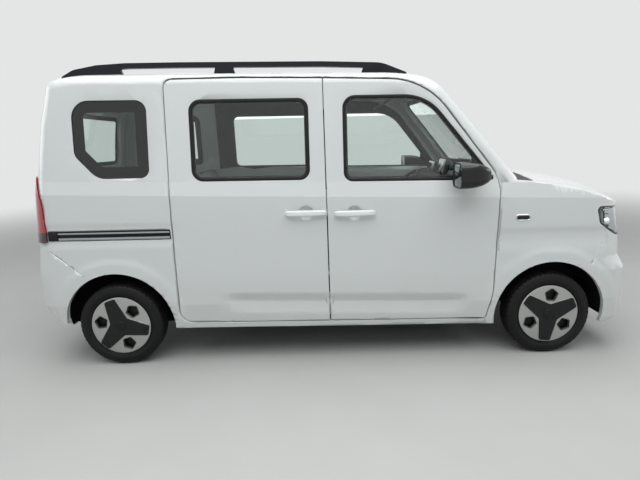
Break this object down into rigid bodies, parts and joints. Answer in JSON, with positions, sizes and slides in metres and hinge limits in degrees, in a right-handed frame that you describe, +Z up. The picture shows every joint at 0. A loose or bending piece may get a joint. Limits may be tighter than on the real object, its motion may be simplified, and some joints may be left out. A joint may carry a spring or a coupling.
{
  "type": "electric microvan",
  "caption": "Box-bodied electric microvan with hinged front doors, sliding side doors, lift-up tailgate, short bonnet, roof rails and small disc-covered wheels.",
  "frame": {"origin": "on the ground, under the middle of the wheelbase, in the vehicle's middle plane", "axes": "+X forwards, +Y to the vehicle's left, +Z up"},
  "size_m": [4.2542, 2.1176, 2.0898],
  "materials": {
    "body_paint": "gloss white paint",
    "underbody_paint": "semi-gloss primer white",
    "chassis_steel": "satin black chassis paint",
    "knuckle_iron": "bare casting",
    "battery_case": "satin black paint",
    "trim_black": "grained black plastic",
    "gloss_black": "gloss black plastic",
    "dash_plastic": "grained grey plastic",
    "wheel_grip": "fine-grained dark plastic",
    "seat_cloth": "woven cloth",
    "window_glass": "clear tempered glass",
    "lamp_clear": "clear moulded lens",
    "lamp_dark": "dark moulded bowl",
    "lamp_red": "red moulded lens",
    "wheel_silver": "silver lacquer",
    "tyre_rubber": "black rubber"
  },
  "bodies": {
    "body": {"roof_panel": "body_paint", "front_bumper": "body_paint", "rear_bumper": "body_paint", "sliding_door_right": "body_paint", "sliding_door_left": "body_paint", "body_side_right": "body_paint", "body_side_left": "body_paint", "front_fender_right": "body_paint", "front_fender_left": "body_paint", "floor_pan": "underbody_paint", "front_structure": "underbody_paint", "rear_axle": "chassis_steel", "leaf_springs": "chassis_steel", "front_subframe": "chassis_steel", "front_struts": "chassis_steel", "battery_pack": "battery_case", "cowl_panel": "trim_black", "roof_rails": "trim_black", "door_slide_rails": "trim_black", "dashboard": "dash_plastic", "steering_wheel": "wheel_grip", "front_seats": "seat_cloth", "rear_bench": "seat_cloth", "windscreen": "window_glass", "sliding_door_glass": "window_glass", "quarter_glass": "window_glass", "headlamp_lenses": "lamp_clear", "headlamp_bowls": "lamp_dark", "tail_lamps": "lamp_red"},
    "bonnet": {"bonnet": "body_paint"},
    "tailgate": {"tailgate": "body_paint", "tailgate_glass": "window_glass"},
    "right_front_door": {"front_door_right": "body_paint", "front_door_glass_right": "window_glass", "door_mirror_right": "gloss_black"},
    "left_front_door": {"front_door_left": "body_paint", "front_door_glass_left": "window_glass", "door_mirror_left": "gloss_black"},
    "right_knuckle": {"front_knuckle_right": "knuckle_iron"},
    "left_knuckle": {"front_knuckle_left": "knuckle_iron"},
    "front_right_road_wheel": {"front_right_tyre": "tyre_rubber", "front_right_wheel": "wheel_silver"},
    "front_left_road_wheel": {"front_left_tyre": "tyre_rubber", "front_left_wheel": "wheel_silver"},
    "rear_right_road_wheel": {"rear_right_tyre": "tyre_rubber", "rear_right_wheel": "wheel_silver"},
    "rear_left_road_wheel": {"rear_left_tyre": "tyre_rubber", "rear_left_wheel": "wheel_silver"}
  },
  "joints": [
    {"name": "bonnet_hinge", "type": "hinge", "parent": "body", "child": "bonnet", "pos_m": [1.3885, 0, 1.298], "axis": [0, -1, 0], "range_deg": [0, 48]},
    {"name": "tailgate_hinge", "type": "hinge", "parent": "body", "child": "tailgate", "pos_m": [-1.96, 0, 1.9115], "axis": [0, 1, 0], "range_deg": [0, 85]},
    {"name": "right_front_door_hinge", "type": "hinge", "parent": "body", "child": "right_front_door", "pos_m": [1.1405, -0.84, 0.9], "axis": [0, 0, 1], "range_deg": [0, 65]},
    {"name": "left_front_door_hinge", "type": "hinge", "parent": "body", "child": "left_front_door", "pos_m": [1.1405, 0.84, 0.9], "axis": [0, 0, -1], "range_deg": [0, 65]},
    {"name": "right_steer", "type": "hinge", "parent": "body", "child": "right_knuckle", "pos_m": [1.525, -0.7, 0.297], "axis": [0, 0, 1], "range_deg": [-33, 33]},
    {"name": "left_steer", "type": "hinge", "parent": "body", "child": "left_knuckle", "pos_m": [1.525, 0.7, 0.297], "axis": [0, 0, 1], "range_deg": [-33, 33]},
    {"name": "front_right_wheel_spin", "type": "hinge", "parent": "right_knuckle", "child": "front_right_road_wheel", "pos_m": [1.525, -0.742, 0.297], "axis": [0, 1, 0], "continuous": true},
    {"name": "front_left_wheel_spin", "type": "hinge", "parent": "left_knuckle", "child": "front_left_road_wheel", "pos_m": [1.525, 0.742, 0.297], "axis": [0, 1, 0], "continuous": true},
    {"name": "rear_right_wheel_spin", "type": "hinge", "parent": "body", "child": "rear_right_road_wheel", "pos_m": [-1.525, -0.742, 0.297], "axis": [0, 1, 0], "continuous": true},
    {"name": "rear_left_wheel_spin", "type": "hinge", "parent": "body", "child": "rear_left_road_wheel", "pos_m": [-1.525, 0.742, 0.297], "axis": [0, 1, 0], "continuous": true}
  ],
  "couplings": [
    {"joint": "left_steer", "follows": "right_steer", "ratio": 1}
  ]
}
